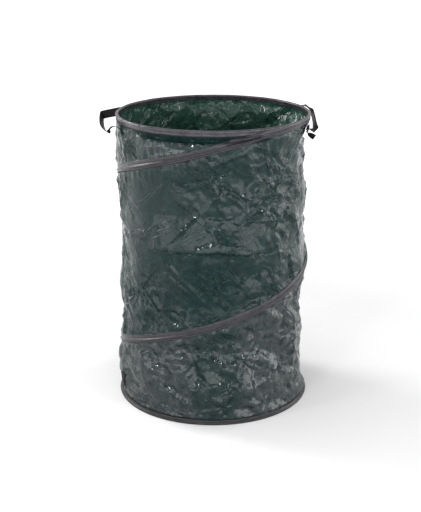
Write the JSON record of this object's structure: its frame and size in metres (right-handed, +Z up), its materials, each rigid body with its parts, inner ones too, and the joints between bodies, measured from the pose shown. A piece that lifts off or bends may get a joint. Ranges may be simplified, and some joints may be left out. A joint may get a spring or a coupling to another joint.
{
  "type": "pop up leaf bag",
  "caption": "Open-topped cylindrical garden bag of crinkled cloth, held up by spring-wire hoops and a spiral in sewn tape, with webbing handles at the rim.",
  "frame": {"origin": "on the ground, at the middle of the round floor panel's underside", "axes": "+Z up along the bag's axis, towards the mouth; +X to the right handle; -Y to the front, where the spiral leaves the rim at the right"},
  "size_m": [0.5063, 0.464, 0.696],
  "materials": {
    "cloth": "satin",
    "tape": "matte",
    "webbing": "matte",
    "wire": "satin"
  },
  "bodies": {
    "base": {"floor_panel": "cloth", "base_casing": "tape", "base_wire": "wire", "base_ferrule": "wire", "bag_wall": "cloth", "side_seam": "cloth", "spiral_wire": "wire", "spiral_casing": "tape", "base_tab": "webbing"},
    "rim": {"rim_casing": "tape", "rim_wire": "wire", "rim_ferrule": "wire", "right_handle_rear_foot": "webbing", "right_handle_front_foot": "webbing", "left_handle_rear_foot": "webbing", "left_handle_front_foot": "webbing", "right_handle_tail": "webbing"},
    "right_handle": {"right_handle": "webbing"},
    "left_handle": {"left_handle": "webbing"}
  },
  "joints": [
    {"name": "collapse", "type": "slide", "parent": "base", "child": "rim", "axis": [0, 0, 1], "range_m": [-0.641, 0], "stiffness_N_per_m": 40, "springref_m": 0.08, "deforming": ["bag_wall", "spiral_wire", "spiral_casing", "side_seam", "base_tab"]},
    {"name": "right_handle_swing", "type": "hinge", "parent": "rim", "child": "right_handle", "pos_m": [0.21727, 0, 0.6833], "axis": [0, -1, 0], "range_deg": [-30, 90], "stiffness_Nm_per_rad": 0.015, "springref_deg": 1.26},
    {"name": "left_handle_swing", "type": "hinge", "parent": "rim", "child": "left_handle", "pos_m": [-0.21727, 0, 0.6833], "axis": [0, 1, 0], "range_deg": [-30, 90], "stiffness_Nm_per_rad": 0.015, "springref_deg": 1.95}
  ]
}
